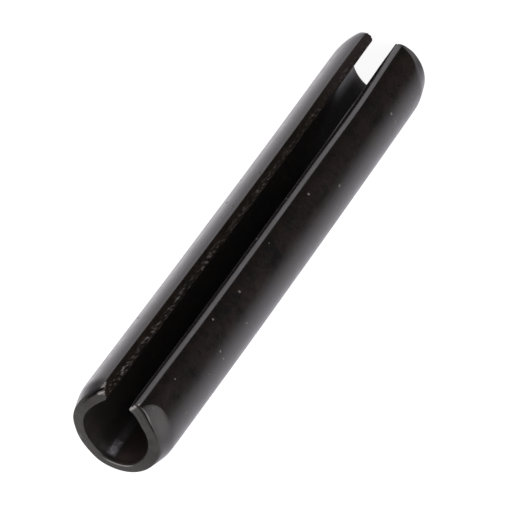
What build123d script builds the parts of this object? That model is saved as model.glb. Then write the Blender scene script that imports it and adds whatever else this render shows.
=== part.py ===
"""Slotted spring pin, heavy pattern: 8 mm nominal diameter by 50 mm long.

A strip of spring steel is rolled into an open tube, so the whole pin is one solid with a slot
along its length. It would roll on its side, so it stands on one of its two like ends: the axis
is Z, the slot faces the front (-Y), and the origin is on the axis, on the surface it stands on.
Lengths are in millimetres and angles in degrees.
"""
import os
from math import asin, cos, degrees, radians, sin, sqrt

from build123d import *

# The rolled tube
pin_length = 50.0
outside_diameter = 8.5  # free size, before the pin is squeezed into an 8 mm hole
strip_thickness = 1.5

# The slot. Both lips roll in a little before they reach it. The strip was slit from a wider
# sheet, so one edge has its rolled-over corner outside and the other has it inside.
slot_width = 3.8  # between the lips' outer edges, set out on the outside circle
lip_roll_radius = 2.1
square_lip_roll_start = 40.0  # from the middle of the slot
square_lip_inner_round = 0.25
bevelled_lip_roll_start = 48.0
bevelled_lip_edge = (21.5, 3.5)  # angle and radius of the edge between its bevel and its face
bevelled_lip_root = 16.0  # angle where its face meets the bore

# The two ends, pressed to a taper so that the pin starts in its hole
taper_length = 1.6
taper_depth = 0.43  # how far the taper stands in from the outside, at the end face
taper_blend = 3.0  # radius where the taper runs into the straight outside
face_edge_round = 0.15  # where the taper meets the end face
mouth_bevel = 0.2  # where the bore meets the end face

outside_radius = outside_diameter / 2
bore_radius = outside_radius - strip_thickness
mouth_radius = bore_radius + mouth_bevel
face_radius = outside_radius - taper_depth
slot_half_angle = degrees(asin(slot_width / 2 / outside_radius))


def on_section(angle, radius):
    """The point of the section at this radius and this angle from the middle of the slot."""
    return (radius * sin(radians(angle)), -radius * cos(radians(angle)))


def lip_roll(start):
    """Centre and turn of the arc that rolls a lip in, from its start angle to the slot."""
    offset = outside_radius - lip_roll_radius
    swing = radians(start - slot_half_angle)
    edge_radius = offset * cos(swing) + sqrt(lip_roll_radius**2 - (offset * sin(swing)) ** 2)
    return on_section(start, offset), degrees(asin(edge_radius * sin(swing) / lip_roll_radius))


with BuildPart() as spring_pin:
    # The open section. The square lip is at +X and the bevelled one at -X.
    with BuildSketch():
        with BuildLine():
            centre, turn = lip_roll(square_lip_roll_start)
            square_roll = CenterArc(centre, lip_roll_radius, square_lip_roll_start - 90, -turn)
            Line(square_roll @ 1, on_section(slot_half_angle, bore_radius))
            CenterArc((0, 0), bore_radius, slot_half_angle - 90, 360 - slot_half_angle - bevelled_lip_root)
            bevel_edge = on_section(-bevelled_lip_edge[0], bevelled_lip_edge[1])
            centre, turn = lip_roll(bevelled_lip_roll_start)
            centre = (-centre[0], centre[1])
            bevelled_roll = CenterArc(centre, lip_roll_radius, 270 - bevelled_lip_roll_start, turn)
            Polyline(on_section(-bevelled_lip_root, bore_radius), bevel_edge, bevelled_roll @ 1)
            CenterArc((0, 0), outside_radius, square_lip_roll_start - 90, 360 - square_lip_roll_start - bevelled_lip_roll_start)
        make_face()
    extrude(amount=pin_length)

    # The square lip's inner edge
    square_face = faces().filter_by(GeomType.PLANE).filter_by(Axis.Z, reverse=True).sort_by(Axis.X)[-1]
    fillet(square_face.edges().filter_by(Axis.Z).sort_by(Axis.Y)[-1], square_lip_inner_round)

    # What the ends leave of the tube. The taper is a true cone about the axis, so it runs
    # out sooner on the rolled-in lips and draws a petal on each side of the slot. A cone of
    # 90 degrees breaks the edge of each mouth of the bore.
    with BuildSketch(Plane.YZ):
        with BuildLine():
            Polyline(
                (0, mouth_radius),
                (mouth_radius, 0),
                (face_radius, 0),
                (outside_radius, taper_length),
                (outside_radius, pin_length - taper_length),
                (face_radius, pin_length),
                (mouth_radius, pin_length),
                (0, pin_length - mouth_radius),
                close=True,
            )
        make_face()
        fillet(vertices().group_by(Axis.X)[-1], taper_blend)
        fillet(vertices().filter_by_position(Axis.X, face_radius, face_radius), face_edge_round)
    revolve(axis=Axis.Z, mode=Mode.INTERSECT)

spring_pin.part.label = "spring_pin"
os.makedirs("parts", exist_ok=True)
export_step(spring_pin.part, "parts/spring_pin.step")

box = spring_pin.part.bounding_box()
print("spring_pin", box, "volume", spring_pin.part.volume, "valid", spring_pin.part.is_valid)
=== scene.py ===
from math import cos, exp, hypot, radians, sin, sqrt

import bmesh
import bpy
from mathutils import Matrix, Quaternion, Vector, noise


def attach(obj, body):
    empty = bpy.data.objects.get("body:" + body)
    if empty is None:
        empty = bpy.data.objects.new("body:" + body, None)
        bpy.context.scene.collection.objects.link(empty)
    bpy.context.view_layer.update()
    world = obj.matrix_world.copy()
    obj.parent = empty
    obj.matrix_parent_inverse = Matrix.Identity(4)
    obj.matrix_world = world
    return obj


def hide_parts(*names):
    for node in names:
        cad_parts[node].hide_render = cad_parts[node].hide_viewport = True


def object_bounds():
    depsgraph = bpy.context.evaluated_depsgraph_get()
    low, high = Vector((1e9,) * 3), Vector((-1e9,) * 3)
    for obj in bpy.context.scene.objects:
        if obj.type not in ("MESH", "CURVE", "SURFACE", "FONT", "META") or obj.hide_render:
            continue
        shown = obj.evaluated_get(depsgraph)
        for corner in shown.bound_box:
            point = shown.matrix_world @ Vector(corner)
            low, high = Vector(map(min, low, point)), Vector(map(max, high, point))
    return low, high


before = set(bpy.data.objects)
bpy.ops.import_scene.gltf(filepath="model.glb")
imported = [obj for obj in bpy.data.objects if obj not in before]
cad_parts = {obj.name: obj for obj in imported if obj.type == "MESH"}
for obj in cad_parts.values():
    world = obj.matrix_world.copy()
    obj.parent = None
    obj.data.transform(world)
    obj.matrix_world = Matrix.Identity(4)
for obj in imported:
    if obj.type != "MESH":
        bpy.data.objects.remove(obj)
cad_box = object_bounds()

# The spring pin: a strip of spring steel, slit from a wider sheet and rolled into an open tube.
# Both ends are pressed in a conical die, which pushes the lips' corners back. Then the pin is
# hardened, tumbled, blackened in hot salts and oiled. Lengths are in mm and angles in degrees.
MM = 0.001
LENGTH = (cad_box[1][2] - cad_box[0][2]) / MM
OUTSIDE = (cad_box[1][0] - cad_box[0][0]) / 2 / MM  # radius
WALL = 1.5
BORE = OUTSIDE - WALL  # radius
CAMBER = 0.13  # how far the middle bows towards -X
OUT_OF_ROUND, RIPPLE = 0.012, 0.003  # what rolling left on the radius, at most
LIP_ROLL = 2.1  # radius that the lips are curled in on

# Angles run from the middle of the slot, over the square lip (+X) first. The bevelled lip is
# the last to come. Depth in the wall is 0 at the bore and 1 at the outside.
SQUARE_EDGE, BEVELLED_EDGE = 26.0, 338.0  # the strip's edges, before its lips are shaped
SQUARE_ROLL_START, BEVELLED_ROLL_START = 32.0, 48.0  # from the slot's middle, on either side

# The bevelled lip's face, as (depth, angle past the strip's edge)
SHEARED_FACE = ((0, 7.2), (0.29, 6.1), (0.33, 5.2), (0.381, 2.1), (0.7, 1.7), (1, -3.8))

# How much wider than the bore the punch left the mouth at the top, as (angle, extra radius)
MOUTH = (
    (20, 0.02), (50, 0.08), (100, 0.09), (135, 0.14), (160, 0.26),
    (200, 0.24), (232, 0.07), (255, 0.02), (280, -0.02), (345, -0.02),
)


def smooth(low, high, value):
    """Rises from 0 to 1 between low and high, level at both ends."""
    share = min(max((value - low) / (high - low), 0), 1)
    return share * share * (3 - 2 * share)


def fades(low, high, value):
    """Falls from 1 to 0 between low and high."""
    return 1 - smooth(low, high, value)


def between(rise, fall, value):
    """Rises from 0 to 1 over the first pair of places and falls again over the second."""
    return smooth(*rise, value) * fades(*fall, value)


def bell(value, middle, width):
    return exp(-(((value - middle) / width) ** 2))


def mix(first, second, share):
    return first + (second - first) * share


def waver(x, y, z):
    """Smooth noise that wanders between -1 and 1, the same on every run."""
    return noise.noise(Vector((x, y, z)))


def along_list(pairs, place):
    """Reads a list of (place, value), in a straight line from each entry to the next."""
    for (low, before), (high, after) in zip(pairs, pairs[1:]):
        if place <= high:
            break
    return mix(before, after, (place - low) / (high - low))


def outside_radius(angle):
    """The rolled strip's outside, where the lips curl in a little on a smaller radius."""
    from_slot = min(angle, 360 - angle)
    start = SQUARE_ROLL_START if angle < 180 else BEVELLED_ROLL_START
    if from_slot >= start:
        return OUTSIDE
    offset, swing = OUTSIDE - LIP_ROLL, radians(start - from_slot)
    return offset * cos(swing) + sqrt(LIP_ROLL**2 - (offset * sin(swing)) ** 2)


def setback(end, angle, depth=1):
    """How far the end face lies back from the nominal end. Beside the lips it gave way to the
    die, and at the top the side away from the slot stands a little proud."""
    if end == "top":
        square_lip = 0.72 * fades(24, 62, angle)
        bevelled_lip = 0.45 * smooth(308, 338, angle)
        proud = (0.12 + 0.05 * smooth(150, 170, angle)) * between((50, 80), (240, 270), angle)
        return square_lip + bevelled_lip - proud
    square_lip = 0.55 * fades(25, 34, angle) * smooth(0.65, 1, depth)
    bevelled_lip = 0.2 * smooth(318, 332, angle) * smooth(0.34, 0.5, depth)
    return square_lip + bevelled_lip


TOP_RIM, FOOT_RIM = 3.82, 3.58  # the die's radius level with each end
TOP_SLOPE = 0.43 / 1.6  # of radius for each mm of height
PRESSED_AT_LEAST = 0.2  # how far the cone reaches past the end face, even at the lips


def die_cone(end, angle):
    """The cone's radius level with the end, and how far from the end it meets the outside. It
    stood a little out of true, so it cut deeper on some sides, and the foot's cone is steeper."""
    if end == "top":
        shallow = 0.11 * between((85, 110), (138, 160), angle)
        rim = TOP_RIM - shallow + 0.1 * smooth(285, 322, angle)
        reach = (outside_radius(angle) - TOP_RIM) / TOP_SLOPE + 0.12 * bell(angle, 326, 6)
    else:
        rim = FOOT_RIM + 0.26 * smooth(26, 42, angle) - 0.08 * smooth(290, 334, angle)
        from_slot = min(angle, 360 - angle)
        deeper = 0.5 if angle < 180 else 0.15
        reach = 0.55 + 0.85 * smooth(14, 64, from_slot) + deeper * smooth(35, 70, from_slot)
    return rim, max(reach, setback(end, angle) + PRESSED_AT_LEAST)


def lip_angle(angle, depth, height):
    """Where a point lies round the pin, once the blade has shaped the two sheared faces."""
    # the square lip leans in towards its outside, most of all near the foot
    lean = 2.8 + 2.6 * (1 - height / LENGTH) - 1.5 * bell(height, 7, 6)
    square = 2.2 - lean * depth

    # the step the blade left wanders, stands clear near the foot and runs out at both ends
    bevelled = along_list(SHEARED_FACE, depth)
    stands_clear = bell(height, 10.5, 4.5)
    wander = 0.5 * waver(height * 0.12, 5, 0)
    bevelled += (0.9 - 1.2 * stands_clear + wander) * bell(depth, 0.33, 0.03)
    bevelled += stands_clear * (1.2 - 1.9 * smooth(0.34, 0.375, depth))
    run_out = 0.7 * fades(1, 5, height) + 0.9 * smooth(47.6, 49.4, height)
    filled = 2.0 * bell(depth, 0.381, 0.05) + 0.8 * bell(depth, 0.7, 0.2)
    bevelled += run_out * (filled - 1.6 * fades(0.33, 0.381, depth))

    # the bevelled lip opens out a little towards both ends
    bevelled += 2.0 * fades(2, 9, height) + 0.9 * smooth(38, 46, height)
    return angle + square * fades(26, 46, angle) + bevelled * smooth(312, 338, angle)


# The flat strip is laid out in rows across its width, through its thickness and along it. They
# crowd towards its edges and wherever a crease, groove or step will be shaped.
def rows_from_an_edge(near, far, step):
    """Rows that crowd towards an edge, then run on at an even step to the far side."""
    rows = [0, 0.012, 0.03, 0.055, 0.09, 0.13, 0.18, 0.24, 0.31, 0.4]
    rows = [row for row in rows if row < near]
    count = max(round((far - near) / step), 1)
    return rows + [near + (far - near) * place / count for place in range(count + 1)]


def mirrored(rows, size):
    """Rows for half a side, carried over to its other half."""
    return rows + [size - row for row in reversed(rows) if size - row > rows[-1] + 1e-6]


width = radians(BEVELLED_EDGE - SQUARE_EDGE) * (BORE + WALL / 2)
across = mirrored(rows_from_an_edge(0.5, width / 2, 0.2), width)

step_rows = [
    WALL * depth + shift
    for depth, _ in SHEARED_FACE[1:-1]
    for shift in (-0.025, -0.008, 0.008, 0.025)
]
groove_rows = [WALL - 0.04 - 0.03 * step for step in range(19)]
through = mirrored(rows_from_an_edge(0.36, WALL / 2, 0.12), WALL)
through = sorted(through + step_rows + groove_rows)
through = [row for row, after in zip(through, through[1:] + [WALL + 1]) if after - row > 0.006]

CREASE_ROW = 1.6  # this row of the flat strip is laid along the crease where the cone ends
SETTLED_ROW = 8.0  # from here on the rows keep their place
crease_shifts = (
    -0.3, -0.18, -0.1, -0.06, -0.03, -0.01, 0, 0.01, 0.03, 0.06, 0.12, 0.2, 0.32, 0.5, 0.8,
)
along = rows_from_an_edge(0.5, 1.2, 0.1)
along += [CREASE_ROW + shift for shift in crease_shifts]
along += [2.8, 3.3, 4.0, 5.0, 6.2, 7.1] + [SETTLED_ROW + step for step in range(18)]
along = mirrored(along, LENGTH)

# How far tumbling rounded the strip's edges: those of its two ends, those of its lips, and the
# corners where they meet. Only the foot's corners differ from one lip or face to the other.
END_EDGES = {
    ("top", "bore"): 0.2, ("top", "outside"): 0.13,
    ("foot", "bore"): 0.3, ("foot", "outside"): 0.08,
}
LIP_EDGES = {
    ("square", "bore"): 0.25, ("square", "outside"): 0.05,
    ("bevelled", "bore"): 0.1, ("bevelled", "outside"): 0.05,
}
TOP_CORNER = 0.3
FOOT_CORNERS = {
    ("square", "bore"): 0.3, ("square", "outside"): 0.8,
    ("bevelled", "bore"): 0.14, ("bevelled", "outside"): 0.3,
}
WIDEST_LIP_EDGE = 0.3


def eased(across_mm, through_mm, along_mm):
    """A point of the strip's surface, moved onto its rounded edges and corners."""
    end = "foot" if along_mm < LENGTH / 2 else "top"
    lip = "square" if across_mm < width / 2 else "bevelled"
    face = "bore" if through_mm < WALL / 2 else "outside"
    end_edge, lip_edge = END_EDGES[end, face], LIP_EDGES[lip, face]
    corner_round = FOOT_CORNERS[lip, face] if end == "foot" else TOP_CORNER
    near_end = fades(0, 0.9, min(along_mm, LENGTH - along_mm))
    near_lip = fades(0, 0.6, min(across_mm, width - across_mm))
    at_the_lip = mix(lip_edge, corner_round if end == "foot" else end_edge, near_end)
    radii = (
        mix(lip_edge, min(corner_round, WIDEST_LIP_EDGE), near_end),
        mix(end_edge, at_the_lip, near_lip),
        mix(end_edge, corner_round, near_lip),
    )
    point, size = (across_mm, through_mm, along_mm), (width, WALL, LENGTH)
    core = [min(max(value, radius), far - radius) for value, radius, far in zip(point, radii, size)]
    reach = [(value - middle) / radius for value, middle, radius in zip(point, core, radii)]
    length = sqrt(sum(value * value for value in reach))
    return [middle + value / length * radius for middle, value, radius in zip(core, reach, radii)]


def ploughed(angle, inwards, row):
    """The groove that the die's rim ploughed in the top's end face beside both lips, with the low
    ridge it threw up, and how much dark is laid in it: old oil caked there, and painted shade for
    the groove's depth."""
    beside_lips = fades(34, 62, angle) + smooth(278, 318, angle)
    on_the_face = beside_lips * fades(0.1, 0.5, row)
    middle, half_width, deep = (0.25, 0.14, 0.45) if angle < 180 else (0.27, 0.1, 0.3)
    groove = deep * bell(inwards, middle, half_width) - 0.03 * bell(inwards, 0.03, 0.05)
    return on_the_face * groove, on_the_face * bell(inwards, middle, half_width + 0.04)


def wear_on_top_face(angle, depth, across_mm, row):
    """How far the black is rubbed through, and how much oil is caked, on the top's end face."""
    inwards = WALL * (1 - depth)
    face = fades(0.1, 0.5, row)
    blotch = 1 + waver(angle * 0.09, depth * 1.5, 4)
    oil_and_shade = 0.4 * blotch * face * between((205, 240), (296, 318), angle)
    ridge = 0.36 * smooth(296, 322, angle) * bell(inwards, 0.05, 0.1) * fades(0.1, 0.4, row)
    mouth_edge = 0.62 * between((150, 178), (200, 225), angle)
    mouth_edge *= bell(depth, 0.16, 0.13) * fades(0.05, 0.2, row)
    handled = 0.26 * blotch * face * between((95, 125), (140, 160), angle) * smooth(0.3, 0.7, depth)
    wear_and_painted_light = max(ridge, mouth_edge, handled)
    if angle < 90:  # the square lip's corner
        corner_edge = bell(hypot(across_mm, row), 0.05, 0.16)
        wear_and_painted_light = max(wear_and_painted_light, 0.5 * corner_edge * smooth(0.1, 0.6, depth))
    return wear_and_painted_light, oil_and_shade


def light_patch_and_oil_in_mouth(angle, from_end):
    """The same in the bore: a painted pool of light on its floor near the mouth, where lamp light
    falls in between the lips, and on one side the oil has browned.
    """
    wear_and_painted_light = between((161, 166), (174, 179), angle) * smooth(0.2, 0.5, from_end)
    wear_and_painted_light *= (1 - 0.8 * smooth(1.7, 1.9, from_end)) * fades(2.5, 5, from_end)
    return wear_and_painted_light, between((172, 195), (300, 335), angle) * fades(5, 16, from_end)


def tears_at(depth, height):
    """The square lip tore along its inner half. The tears come and go, and are few at the foot.
    Their specks are painted pale, as torn steel and as painted glints.
    """
    torn_and_glints = between((0.08, 0.26), (0.44, 0.74), depth)
    torn_and_glints *= 0.75 + 0.8 * waver(height * 0.4, 2, 8)
    return (0.035 + 0.06 * smooth(6, 20, height) + 0.04 * smooth(28, 40, height)) * torn_and_glints


# Burrs torn up where the die's rim met the lips
BURRS = (  # angle, depth in the wall, height, size, rise
    (25.8, 0.98, 49.15, 0.19, 0.07),
    (25.2, 0.95, 48.8, 0.13, 0.05),
    (33.5, 0.66, 49.3, 0.17, 0.04),
    (30.5, 0.72, 49.3, 0.13, 0.04),
    (344, 0.15, 49.6, 0.2, 0.03),
    (342, 0.42, 49.6, 0.22, 0.04),
    (340, 0.68, 49.6, 0.18, 0.03),
    (337, 0.92, 49.35, 0.15, 0.05),
)
FACE_ROWS = 1.2  # the rows nearest the top that the end face's marks reach


def rolled_and_pressed(across_mm, through_mm, along_mm):
    """Where a point of the flat strip ends up on the finished pin, in mm, how far its black is
    rubbed through, with painted light in places (a pool of light in the bore's mouth, glints in the
    tears), and how much old oil is caked on it, with painted shade in the top's grooves."""
    across_mm, through_mm, along_mm = eased(across_mm, through_mm, along_mm)
    angle = mix(SQUARE_EDGE, BEVELLED_EDGE, across_mm / width)
    depth = through_mm / WALL
    end = "foot" if along_mm < LENGTH / 2 else "top"
    row = min(along_mm, LENGTH - along_mm)
    outer = lip_angle(angle, 1, along_mm)
    back = setback(end, angle, depth)
    rim, start = die_cone(end, outer)

    # the rows near the end are drawn up to the end face and the crease
    if row < CREASE_ROW:
        from_end = mix(back, start, row / CREASE_ROW)
    elif row < SETTLED_ROW:
        from_end = mix(start, SETTLED_ROW, (row - CREASE_ROW) / (SETTLED_ROW - CREASE_ROW))
    else:
        from_end = row

    # the die's cone, crisp beside the bevelled lip and soft round the rest
    blend = 0.05 + 0.35 * fades(292, 318, angle)
    over = start - from_end
    slope = (outside_radius(outer) - rim) / start
    pressed = slope * (over + sqrt(over * over + blend * blend)) / 2
    spread = along_list(MOUTH, angle) if end == "top" else 0.13 * smooth(40, 60, angle)
    bore = BORE + spread * fades(0, 1.5, from_end) ** 1.4
    radius = bore + depth * (outside_radius(outer) - pressed - bore)

    wear_and_painted_light, oil_and_shade = 0, 0
    if end == "top" and row < FACE_ROWS:
        # the groove is ploughed, and old oil with painted shade is laid in it
        groove, oil_and_shade = ploughed(angle, WALL - through_mm, row)
        from_end += groove
        wear_and_painted_light, dulled = wear_on_top_face(angle, depth, across_mm, row)
        oil_and_shade = max(oil_and_shade, dulled)
        # painted shade along the square lip's groove, on the outside just past it
        if angle < 180 and depth > 0.9:  # the outside just past the square lip's groove
            oil_and_shade = max(oil_and_shade, fades(36, 52, angle) * fades(0.15, 0.4, from_end - back))
    # in the bore's mouth: a painted pool of light on the floor, and browned oil
    if end == "top" and depth < 0.1:
        wear_and_painted_light, oil_and_shade = light_patch_and_oil_in_mouth(angle, from_end)
    if angle < 90 and row > 1.3:
        wear_and_painted_light = max(wear_and_painted_light, tears_at(depth, along_mm))
    if angle < 90 and across_mm < 0.06:  # towards the foot the oil on that lip has dried brown
        dried = min(0.85 + 0.35 * waver(depth * 2, along_mm * 0.5, 6), 1)
        oil_and_shade = max(oil_and_shade, dried * fades(3, 12, along_mm))

    height = from_end if end == "foot" else LENGTH - from_end
    turned = lip_angle(angle, depth, along_mm)
    for at_angle, at_depth, at_height, size, rise in BURRS:
        round_by, through_by = radians(turned - at_angle) * radius, (depth - at_depth) * WALL
        lump = bell(hypot(round_by, through_by, height - at_height), 0, size)
        radius += rise * lump
        height += rise * lump * 0.5
        wear_and_painted_light += lump

    # no rolled tube is quite round or quite straight
    turn = radians(turned)
    radius += OUT_OF_ROUND * waver(turn * 1.3, height * 0.11, 3)
    radius += RIPPLE * waver(turn * 4, height * 0.5, 9)
    bow = CAMBER * (1 - (2 * height / LENGTH - 1) ** 2)
    place = (radius * sin(turn) - bow, -radius * cos(turn), max(height, 0))
    return place, min(wear_and_painted_light, 1), min(oil_and_shade, 1)


blank = bmesh.new()
wear_and_painted_light_layer, oil_and_shade_layer = (blank.verts.layers.float.new(name) for name in ("wear_and_painted_light", "oil_and_shade"))
sides = (across, through, along)
last = [len(rows) - 1 for rows in sides]
corners = {}


def corner(place):
    """The mesh's point at this place in the rows, made the first time it is asked for."""
    if place not in corners:
        flat = [rows[step] for rows, step in zip(sides, place)]
        spot, wear_and_painted_light, oil_and_shade = rolled_and_pressed(*flat)
        corners[place] = blank.verts.new([value * MM for value in spot])
        corners[place][wear_and_painted_light_layer] = wear_and_painted_light
        corners[place][oil_and_shade_layer] = oil_and_shade
    return corners[place]


ACROSS, THROUGH, ALONG = range(3)
FINISHES = {"outside": 0, "bore": 1, "sheared": 2, "cropped": 3}
BURNISHED_FROM = 0.26  # past this depth, the blade left the bevelled lip as smooth as the outside


def finish_of(side, level, depth):
    """Which finish a face of the flat strip takes, from the side of the strip that it is on."""
    if side == ALONG:
        return "cropped"
    if side == ACROSS and (level == 0 or depth <= BURNISHED_FROM):
        return "sheared"
    return "bore" if side == THROUGH and level == 0 else "outside"


for side in (ACROSS, THROUGH, ALONG):
    first, second = [axis for axis in range(3) if axis != side]
    for level in (0, last[side]):
        for a in range(last[first]):
            for b in range(last[second]):
                quad = []
                for step_a, step_b in ((0, 0), (1, 0), (1, 1), (0, 1)):
                    place = [0, 0, 0]
                    place[side], place[first], place[second] = level, a + step_a, b + step_b
                    quad.append(corner(tuple(place)))
                face = blank.faces.new(quad)
                face.smooth = True
                depth = through[a] / WALL if side == ACROSS else 0
                face.material_index = FINISHES[finish_of(side, level, depth)]
bmesh.ops.recalc_face_normals(blank, faces=blank.faces)
mesh = bpy.data.meshes.new("rolled_pin")
blank.to_mesh(mesh)
blank.free()
pin = bpy.data.objects.new("rolled_pin", mesh)
bpy.context.collection.objects.link(pin)
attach(pin, "root")
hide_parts("spring_pin")


def fill(tree, node, inputs):
    """Sets a node's inputs, by place or name, to numbers, colours or other nodes' outputs."""
    for key, value in inputs.items():
        named = [socket for socket in node.inputs if socket.enabled and socket.name == key]
        socket = node.inputs[key] if isinstance(key, int) else named[0]
        if isinstance(value, bpy.types.NodeSocket):
            tree.links.new(value, socket)
        else:
            socket.default_value = value


def add(tree, kind, inputs, **settings):
    """Adds a shader node and gives its output."""
    made = tree.nodes.new("ShaderNode" + kind)
    for name, value in settings.items():
        setattr(made, name, value)
    fill(tree, made, inputs)
    return next(output for output in made.outputs if output.enabled)


def painted(tree, mask, under, over):
    return add(tree, "Mix", {"Factor": mask, "A": under, "B": over}, data_type="RGBA")


def blended(tree, mask, under, over):
    """What painted does for colours, for numbers."""
    return add(tree, "Mix", {"Factor": mask, "A": under, "B": over}, data_type="FLOAT")


def new_group(name, inputs, outputs):
    """An empty node group, with the sockets it takes and the sockets it gives."""
    group = bpy.data.node_groups.new(name, "ShaderNodeTree")
    for way, sockets in (("INPUT", inputs), ("OUTPUT", outputs)):
        for label, kind in sockets.items():
            group.interface.new_socket(label, in_out=way, socket_type="NodeSocket" + kind)
    given, result = group.nodes.new("NodeGroupInput"), group.nodes.new("NodeGroupOutput")
    return group, given.outputs, result.inputs


def use(tree, group, inputs):
    """Places a node group in a material and gives its outputs by name."""
    made = tree.nodes.new("ShaderNodeGroup")
    made.node_tree = group
    fill(tree, made, inputs)
    return made.outputs


# Hot-salt oxide is never one even black: it clouds from blue-black to brown
clouds, given, result = new_group(
    "oxide_clouds",
    {"Black": "Color", "Brown": "Color", "Patch": "Float"},
    {"Color": "Color", "Cloud": "Float"},
)
spot = clouds.nodes.new("ShaderNodeTexCoord").outputs["Object"]
patch = {"Vector": spot, "Scale": given["Patch"], "Detail": 4.0, "Roughness": 0.6}
patches = add(clouds, "TexNoise", patch)
grains = add(clouds, "TexNoise", {"Vector": spot, "Scale": 2000.0, "Detail": 3.0})
cloud = blended(clouds, 0.4, patches, grains)
cloud = add(clouds, "MapRange", {"Value": cloud, "From Min": 0.36, "From Max": 0.64})
clouds.links.new(painted(clouds, cloud, given["Black"], given["Brown"]), result["Color"])
clouds.links.new(cloud, result["Cloud"])

# Dust and lint grains that the oil holds: the few cells of a scatter that are lit
dust, given, result = new_group(
    "dust_grains",
    {"Per Metre": "Float", "Size": "Float", "Share": "Float"},
    {"Mask": "Float"},
)
spot = dust.nodes.new("ShaderNodeTexCoord").outputs["Object"]
cell = add(dust, "TexVoronoi", {"Vector": spot, "Scale": given["Per Metre"]})
is_grain = add(dust, "Math", {0: cell, 1: given["Size"]}, operation="LESS_THAN")
lot = add(dust, "SeparateColor", {"Color": cell.node.outputs["Color"]})
is_lit = add(dust, "Math", {0: lot, 1: given["Share"]}, operation="LESS_THAN")
dust.links.new(add(dust, "Math", {0: is_grain, 1: is_lit}, operation="MULTIPLY"), result["Mask"])

# Marks drawn out one way, such as rolling lines and scuffs. Size is one mark's, in metres
lines, given, result = new_group(
    "drawn_marks",
    {"Turn": "Vector", "Size": "Vector", "Low": "Float", "High": "Float"},
    {"Mask": "Float"},
)
spot = lines.nodes.new("ShaderNodeTexCoord").outputs["Object"]
one_mark = {"Vector": spot, "Rotation": given["Turn"], "Scale": given["Size"]}
drawn = add(lines, "Mapping", one_mark, vector_type="TEXTURE")
mark = add(lines, "TexNoise", {"Vector": drawn, "Scale": 1.0, "Detail": 3.0, "Roughness": 0.6})
mark = add(lines, "MapRange", {"Value": mark, "From Min": given["Low"], "From Max": given["High"]})
lines.links.new(mark, result["Mask"])

# Old oil cakes over the oxide, dull and in a colour of its own. The same mix lays painted shade in
# the top's grooves.
oil_and_shade_group, given, result = new_group(
    "oil_and_painted_shade",
    {
        "Oil And Shade": "Float", "Coat": "Color", "Oil": "Color",
        "Roughness": "Float", "Oil Roughness": "Float",
    },
    {"Color": "Color", "Roughness": "Float"},
)
oil_and_shade = given["Oil And Shade"]
oil_and_shade_group.links.new(painted(oil_and_shade_group, oil_and_shade, given["Coat"], given["Oil"]), result["Color"])
roughened = blended(oil_and_shade_group, oil_and_shade, given["Roughness"], given["Oil Roughness"])
oil_and_shade_group.links.new(roughened, result["Roughness"])

# The die, the tumbling and handling rub the black through to bare steel
wearing, given, result = new_group(
    "rubbed_bare", {"Rubbed": "Float", "Coat": "Color"}, {"Color": "Color", "Bare": "Float"}
)
BARE_STEEL = (0.37, 0.35, 0.335, 1)
bare = add(wearing, "MapRange", {"Value": given["Rubbed"], "From Min": 0.2, "From Max": 0.75})
wearing.links.new(painted(wearing, bare, given["Coat"], BARE_STEEL), result["Color"])
wearing.links.new(bare, result["Bare"])


def new_finish(name, refraction):
    """An oxide finish in the pin's next material place. Gives its tree, its shader's sockets, and
    the mesh's two layers: wear with painted light, and caked oil with painted shade."""
    finish = bpy.data.materials.new(name)
    finish.use_nodes = True
    mesh.materials.append(finish)
    tree = finish.node_tree
    surface = tree.nodes["Principled BSDF"].inputs
    surface["IOR"].default_value = refraction
    readers = [tree.nodes.new("ShaderNodeAttribute") for _ in range(2)]
    for reader, layer in zip(readers, ("wear_and_painted_light", "oil_and_shade")):
        reader.attribute_name = layer
    return tree, surface, *(reader.outputs["Fac"] for reader in readers)


def ranged(tree, value, low, high):
    """A value from 0 to 1, spread from low to high."""
    return add(tree, "MapRange", {"Value": value, "To Min": low, "To Max": high})


def rub_bare(tree, surface, wear_and_painted_light, coat):
    """Gives the shader its coat, with bare metal where that is rubbed through."""
    worn = use(tree, wearing, {"Rubbed": wear_and_painted_light, "Coat": coat})
    tree.links.new(worn["Color"], surface["Base Color"])
    tree.links.new(worn["Bare"], surface["Metallic"])


def raise_marks(tree, surface, height, metres):
    """Gives the shader marks this deep."""
    marks = add(tree, "Bump", {"Height": height, "Distance": metres, "Strength": 1.0})
    tree.links.new(marks, surface["Normal"])


OILED, DRY = 1.55, 1.22  # refraction under a film of oil, and of torn metal that holds none
LINT = (0.11, 0.10, 0.09, 1)
# the caked oil's near-black also paints shade in the top's grooves
OIL_AND_SHADE_BLACK, CAKED_ROUGHNESS = (0.005, 0.0028, 0.0025, 1), 0.8
BROWNED_OIL = (0.034, 0.024, 0.021, 1)
DRIED_OIL, DRIED_ROUGHNESS = (0.0155, 0.0105, 0.008, 1), 0.85
# a pale grey that paints a pool of light on the bore's floor
LIGHT_PATCH_GREY = (0.19, 0.18, 0.192, 1)
# torn steel, pale enough to paint glints as well
TORN_STEEL_GLINT = (0.24, 0.23, 0.215, 1)

# The outside, tumbled smooth before it was blackened
tree, surface, wear_and_painted_light, oil_and_shade = new_finish("tumbled_oxide", OILED)
oxide = use(tree, clouds, {
    "Black": (0.0022, 0.0021, 0.002, 1), "Brown": (0.0088, 0.0048, 0.0027, 1), "Patch": 520,
})
rolling = use(tree, lines, {"Size": (0.0004, 0.0004, 0.016), "Low": 0.3, "High": 0.7})["Mask"]
lint = use(tree, dust, {"Per Metre": 700, "Size": 0.085, "Share": 0.5})["Mask"]
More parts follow.
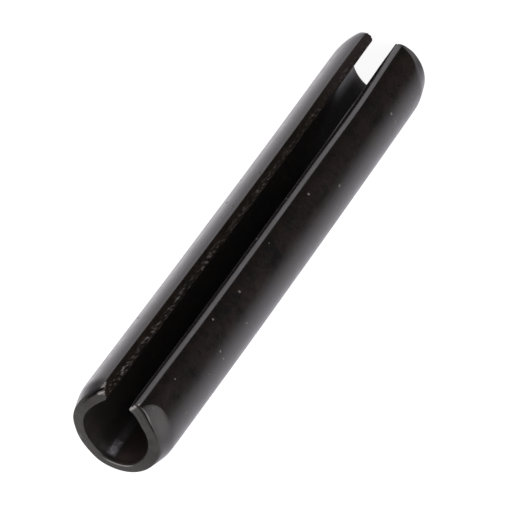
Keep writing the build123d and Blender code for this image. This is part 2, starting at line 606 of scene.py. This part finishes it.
# old oil, with painted shade along the square lip's groove
oiled_and_shaded = use(tree, oil_and_shade_group, {
    "Oil And Shade": oil_and_shade, "Coat": painted(tree, lint, oxide["Color"], LINT), "Oil": OIL_AND_SHADE_BLACK,
    "Roughness": ranged(tree, oxide["Cloud"], 0.24, 0.32), "Oil Roughness": CAKED_ROUGHNESS,
})
rub_bare(tree, surface, wear_and_painted_light, oiled_and_shaded["Color"])
dull_lint = add(tree, "Math", {0: oiled_and_shaded["Roughness"], 1: lint}, operation="MAXIMUM")
tree.links.new(dull_lint, surface["Roughness"])
relief = add(tree, "Math", {0: rolling, 1: oxide["Cloud"]}, operation="ADD")
raise_marks(tree, surface, relief, 0.000002)

# The bore, never tumbled: duller, with the rolling lines left in it
tree, surface, wear_and_painted_light, oil_and_shade = new_finish("bore_oxide", OILED)
oxide = use(tree, clouds, {
    "Black": (0.0098, 0.009, 0.0088, 1), "Brown": (0.0165, 0.0138, 0.0118, 1), "Patch": 500,
})
rolling = use(tree, lines, {"Size": (0.0003, 0.0003, 0.004), "Low": 0.35, "High": 0.65})["Mask"]
patch_breakup = use(tree, lines, {"Size": (0.0002, 0.0002, 0.0003), "Low": 0.25, "High": 0.6})["Mask"]
oiled_and_shaded = use(tree, oil_and_shade_group, {"Oil And Shade": oil_and_shade, "Coat": oxide["Color"], "Oil": BROWNED_OIL})
# a painted pool of light on the floor near the mouth, broken up by fine drawn marks
painted_light_patch = add(tree, "Math", {0: wear_and_painted_light, 1: patch_breakup}, operation="MULTIPLY")
coat = painted(tree, painted_light_patch, oiled_and_shaded["Color"], LIGHT_PATCH_GREY)
tree.links.new(coat, surface["Base Color"])
tree.links.new(ranged(tree, rolling, 0.29, 0.37), surface["Roughness"])
raise_marks(tree, surface, rolling, 0.000001)

# The sheared edges: dull brown, drawn across by the blade. The square lip tore along its inner
# half, with pale specks of torn steel that are also painted glints, and near the foot its oil has
# dried brown
tree, surface, wear_and_painted_light, oil_and_shade = new_finish("sheared_oxide", DRY)
oxide = use(tree, clouds, {
    "Black": (0.0042, 0.0036, 0.003, 1), "Brown": (0.013, 0.0092, 0.0063, 1), "Patch": 900,
})
shear = use(tree, lines, {"Size": (0.0011, 0.0011, 0.0003), "Low": 0.35, "High": 0.65})["Mask"]
slanting = use(tree, lines, {
    "Turn": (radians(16), 0, 0), "Size": (0.00045, 0.00012, 0.0006), "Low": 0.52, "High": 0.68,
})["Mask"]
# pale specks of torn steel, which also stand in for painted glints
torn_and_glints = add(tree, "MapRange", {"Value": wear_and_painted_light, "From Min": 0, "From Max": 0.15})
torn_and_glints = add(tree, "Math", {0: slanting, 1: torn_and_glints}, operation="MULTIPLY")
oiled_and_shaded = use(tree, oil_and_shade_group, {
    "Oil And Shade": oil_and_shade, "Coat": oxide["Color"], "Oil": DRIED_OIL,
    "Roughness": ranged(tree, oxide["Cloud"], 0.36, 0.52), "Oil Roughness": DRIED_ROUGHNESS,
})
rub_bare(tree, surface, wear_and_painted_light, painted(tree, torn_and_glints, oiled_and_shaded["Color"], TORN_STEEL_GLINT))
tree.links.new(oiled_and_shaded["Roughness"], surface["Roughness"])
raise_marks(tree, surface, shear, 0.000006)

# The end faces: cropped square, then tumbled, so their tear marks are only softened
tree, surface, wear_and_painted_light, oil_and_shade = new_finish("cropped_oxide", OILED)
oxide = use(tree, clouds, {
    "Black": (0.0048, 0.004, 0.0036, 1), "Brown": (0.019, 0.0122, 0.0078, 1), "Patch": 800,
})
cropping = use(tree, lines, {"Size": (0.0006, 0.0006, 0.0006), "Low": 0.3, "High": 0.7})["Mask"]
# old oil, with painted shade in the grooves beside the lips
oiled_and_shaded = use(tree, oil_and_shade_group, {
    "Oil And Shade": oil_and_shade, "Coat": oxide["Color"], "Oil": OIL_AND_SHADE_BLACK,
    "Roughness": ranged(tree, oxide["Cloud"], 0.30, 0.42), "Oil Roughness": CAKED_ROUGHNESS,
})
rub_bare(tree, surface, wear_and_painted_light, oiled_and_shaded["Color"])
tree.links.new(oiled_and_shaded["Roughness"], surface["Roughness"])
raise_marks(tree, surface, cropping, 0.00002)

# The floor: a sheet of plain white card, far larger than the pin. It glows, so that it stays
# white beyond the pin's shadow, and the metal neither mirrors it nor is lit by it.
FLOOR_SIZE = 2  # metres
bpy.ops.mesh.primitive_plane_add(size=FLOOR_SIZE, location=(0, 0, 0))
floor = bpy.context.object
floor.name = "floor"
card = bpy.data.materials.new("white_floor")
card.use_nodes = True
paint = card.node_tree.nodes["Principled BSDF"].inputs
paint["Base Color"].default_value = (0.2, 0.2, 0.2, 1)
paint["Roughness"].default_value = 1
paint["Specular IOR Level"].default_value = 0
paint["Emission Color"].default_value = (1, 1, 1, 1)
paint["Emission Strength"].default_value = 0.93
floor.data.materials.append(card)
floor.visible_glossy = False
floor.visible_diffuse = False
floor.visible_shadow = False

# The studio: a white backdrop sweeps up from behind and over the top, and a pale wall stands on
# the left (+X). The front is dark, but for a long low softbox on the right, just above the table.
STUDIO_TINT = (0.985, 0.945, 0.985, 1)
world = bpy.data.worlds.new("studio")
bpy.context.scene.world = world
world.use_nodes = True
studio = world.node_tree
ray = studio.nodes.new("ShaderNodeTexCoord").outputs["Generated"]


def running(direction):
    """How nearly a ray of light runs this way, from -1 to 1."""
    return add(studio, "VectorMath", {0: ray, 1: direction}, operation="DOT_PRODUCT")


def soft_step(value, low, high, below, above):
    """Goes softly from one strength to another as the value passes from low to high."""
    inputs = {
        "Value": value, "From Min": low, "From Max": high, "To Min": below, "To Max": above,
    }
    return add(studio, "MapRange", inputs, interpolation_type="SMOOTHSTEP")


def brighter(first, second):
    return add(studio, "Math", {0: first, 1: second}, operation="MAXIMUM")


def where_both(first, second):
    return add(studio, "Math", {0: first, 1: second}, operation="MULTIPLY")


leftward, backward, upward = running((1, 0, 0)), running((0, 1, 0)), running((0, 0, 1))

# the wall and the backdrop fall into shade straight down, where the table is
table_shade = soft_step(upward, -0.95, -0.78, 0.15, 1)

# the pale wall on the left is brighter where it runs back and where it comes forward, and is
# let off above and far out
runs_back = soft_step(backward, -0.15, 0.55, 1, 1.9)
comes_forward = soft_step(backward, -0.38, -0.14, 1.7, 1)
left_wall = soft_step(leftward, 0.42, 0.6, 0.04, 1)
left_wall = where_both(left_wall, brighter(runs_back, comes_forward))
left_wall = where_both(left_wall, soft_step(upward, -0.62, -0.4, 1, 0.5))
left_wall = where_both(left_wall, soft_step(leftward, 0.84, 0.99, 1, 0.3))
left_wall = where_both(left_wall, table_shade)

# the white backdrop
behind = soft_step(backward, -0.13, 0.72, 0, 1)
behind = where_both(behind, soft_step(backward, 0.84, 0.99, 1, 0.3))
above = where_both(soft_step(upward, 0, 0.4, 0, 1), soft_step(backward, -0.1, 0.35, 0.35, 1))
backdrop = brighter(where_both(behind, table_shade), above)

# the softbox on the right, just over the table, and a little light off the table itself
softbox = where_both(soft_step(upward, -0.42, -0.32, 0, 2.3), soft_step(backward, 0.35, 0.6, 1, 0))
softbox = where_both(softbox, soft_step(leftward, -0.45, -0.25, 1, 0))
table_light = soft_step(upward, -0.97, -0.86, 0.55, 0)

lamps = brighter(left_wall, brighter(softbox, table_light))
background = studio.nodes["Background"]
background.inputs["Color"].default_value = STUDIO_TINT
studio.links.new(brighter(lamps, backdrop), background.inputs["Strength"])

# To the eye the studio is plain white all round, and so is the backdrop that the metal mirrors,
# which low down is a cooler white.
PLAIN_WHITE, COOL_WHITE = (1, 1, 1, 1), (0.95, 0.92, 1, 1)
seen_by = studio.nodes.new("ShaderNodeLightPath").outputs
is_plain = brighter(seen_by["Is Camera Ray"], soft_step(upward, -0.4, 0.1, 0, 1))
white_studio = studio.nodes.new("ShaderNodeBackground")
white = painted(studio, is_plain, COOL_WHITE, PLAIN_WHITE)
studio.links.new(white, white_studio.inputs["Color"])
mirrored_or_through = brighter(seen_by["Is Glossy Ray"], seen_by["Is Transmission Ray"])
clear_of_wall = where_both(backdrop, soft_step(leftward, 0.38, 0.55, 1, 0))
shows_white = brighter(seen_by["Is Camera Ray"], where_both(mirrored_or_through, clear_of_wall))
shaders = {0: shows_white, 1: background.outputs[0], 2: white_studio.outputs[0]}
whole_studio = add(studio, "MixShader", shaders)
studio.links.new(whole_studio, studio.nodes["World Output"].inputs["Surface"])

# The camera: on a tall stand in front and to the right, with a long lens and turned well over
LENS = 297.0  # mm
ROLL = -143.877  # degrees
camera = bpy.data.objects.new("camera", bpy.data.cameras.new("camera"))
place = Vector((-0.095703, -0.238218, 0.255774))
aim = Vector((-0.000564, 2e-06, 0.026467))
camera.location = place
camera.rotation_mode = "QUATERNION"
looking = (aim - place).to_track_quat("-Z", "Y")
camera.rotation_quaternion = looking @ Quaternion((0, 0, 1), radians(ROLL))
camera.data.lens = LENS
camera.data.clip_start = 0.01
bpy.context.collection.objects.link(camera)
bpy.context.scene.camera = camera
bpy.context.scene.view_settings.view_transform = "Standard"
